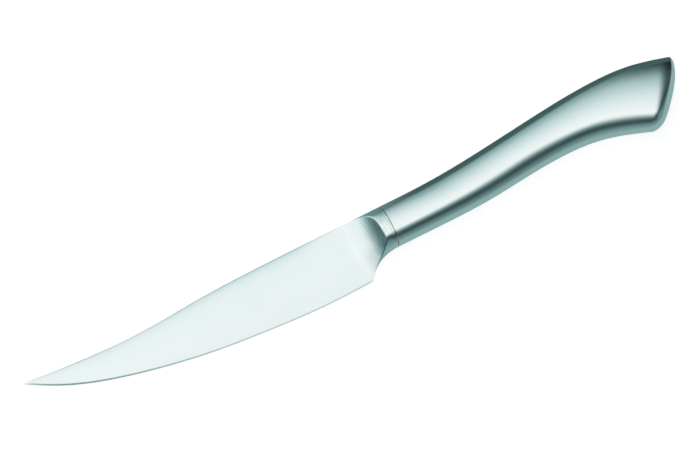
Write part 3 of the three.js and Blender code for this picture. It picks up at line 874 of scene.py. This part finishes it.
def dimmed(level):
    """A level of the studio's light, tinted towards the dark."""
    return (level * mix(DARK_RED, 1, level ** TINT_POWER), level, level)


def make_world():
    """The studio's light, by the direction that it comes from."""
    world = bpy.data.worlds.new("studio")
    world.use_nodes = True
    nodes = Nodes(world.node_tree)
    direction = nodes.add("ShaderNodeTexCoord").outputs["Generated"]
    parts = nodes.add("ShaderNodeSeparateXYZ", {"Vector": direction})

    def math_of(operation, first, second, clamped=False):
        node = nodes.add(
            "ShaderNodeMath", {0: first, 1: second}, operation=operation, use_clamp=clamped)
        return node.outputs[0]

    beyond = math_of("MAXIMUM", math_of("SUBTRACT", parts.outputs["X"], SLANT_FROM), 0)
    on_back = math_of("MULTIPLY", parts.outputs["Y"], SLANT_GAIN, True)
    slant = math_of("MULTIPLY", math_of("MULTIPLY", beyond, SLANT), on_back)
    across = math_of("ADD", parts.outputs["Y"], slant)

    def falloff(value, levels):
        low, high = levels[0][0], levels[-1][0]
        share = nodes.add("ShaderNodeMapRange", {
            "Value": value, "From Min": low, "From Max": high})
        stops = [((at - low) / (high - low), dimmed(level)) for at, level in levels]
        return nodes.ramp(share.outputs["Result"], stops)

    light = nodes.add("ShaderNodeMix", {
        "Factor": 1, MIX_A: falloff(across, ACROSS), MIX_B: falloff(parts.outputs["X"], ALONG),
    }, data_type="RGBA", blend_type="MULTIPLY")
    near_fill = nodes.add(
        "ShaderNodeVectorMath", {0: direction, 1: FILL_TOWARDS}, operation="DOT_PRODUCT")
    start, full = (math.cos(math.radians(angle)) for angle in FILL_REACH)
    share = nodes.add("ShaderNodeMapRange", {
        "Value": near_fill.outputs["Value"], "From Min": start, "From Max": full})
    fill = nodes.ramp(share.outputs["Result"], [(0, (0, 0, 0)), (1, dimmed(FILL_LEVEL))])
    lit = nodes.add(
        "ShaderNodeVectorMath", {0: light.outputs[MIX_RESULT], 1: fill}, operation="MAXIMUM")
    shader = nodes.add("ShaderNodeBackground", {
        "Color": lit.outputs["Vector"], "Strength": LIGHT_LEVEL})
    nodes.add("ShaderNodeOutputWorld", {"Surface": shader.outputs["Background"]})
    bpy.context.scene.world = world


PHOTO_SIZE = (700, 450)  # pixels
JOINT_PIXEL = (390.2, 226.1)  # where the joint's middle is in the photograph
MM_PER_PIXEL = 0.385
VIEW_TILT = math.radians(14)  # the view leans towards the point
VIEW_ROLL = math.radians(26)  # the knife climbs to the right
LENS = 600  # millimetres: long for a flat view, but short enough that other views keep the floor
SENSOR = 36  # millimetres


def make_camera():
    """A camera far off, with the joint where the photograph has it."""
    along = Vector((math.cos(VIEW_TILT), 0, math.sin(VIEW_TILT)))
    across = Vector((0, 1, 0))
    right = math.cos(VIEW_ROLL) * along - math.sin(VIEW_ROLL) * across
    up = math.sin(VIEW_ROLL) * along + math.cos(VIEW_ROLL) * across
    towards = right.cross(up)
    pixel = MM_PER_PIXEL * MM
    aside = (JOINT_PIXEL[0] - PHOTO_SIZE[0] / 2) * pixel
    above = (PHOTO_SIZE[1] / 2 - JOINT_PIXEL[1]) * pixel
    distance = LENS / SENSOR * PHOTO_SIZE[0] * pixel
    eye = JOINT_PLACE - aside * right - above * up + distance * towards
    data = bpy.data.cameras.new("camera")
    data.lens = LENS
    data.sensor_width = SENSOR
    camera = bpy.data.objects.new("camera", data)
    turn = Matrix((right, up, towards)).transposed().to_4x4()
    camera.matrix_world = Matrix.Translation(eye) @ turn
    bpy.context.scene.collection.objects.link(camera)
    bpy.context.scene.camera = camera


bpy.context.scene.view_settings.view_transform = "Standard"
make_camera()
make_world()
make_floor()
make_cards()

blade_steel = brushed_steel(
    "blade_steel", dark=(0.72, 0.78, 0.778), light=(0.74, 0.8, 0.798),
    roughness=0.24, line_depth=0.00012, on_bolster=True)
handle_steel = brushed_steel(
    "handle_steel", dark=(0.79, 0.825, 0.825), light=(0.81, 0.845, 0.845),
    roughness=0.26, line_depth=0.00006)

forging = make_forging(blade_steel)
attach(forging, "root")
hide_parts("blade")

shells = [
    (make_shell("handle_left", lambda points: points, handle_steel), "handle_shell_left"),
    (make_shell("handle_right", mirrored, handle_steel), "handle_shell_right"),
]
for shell, node in shells:
    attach(shell, "root")
    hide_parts(node)

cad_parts["tang_cement"].material_slots[0].material = cast_cement()
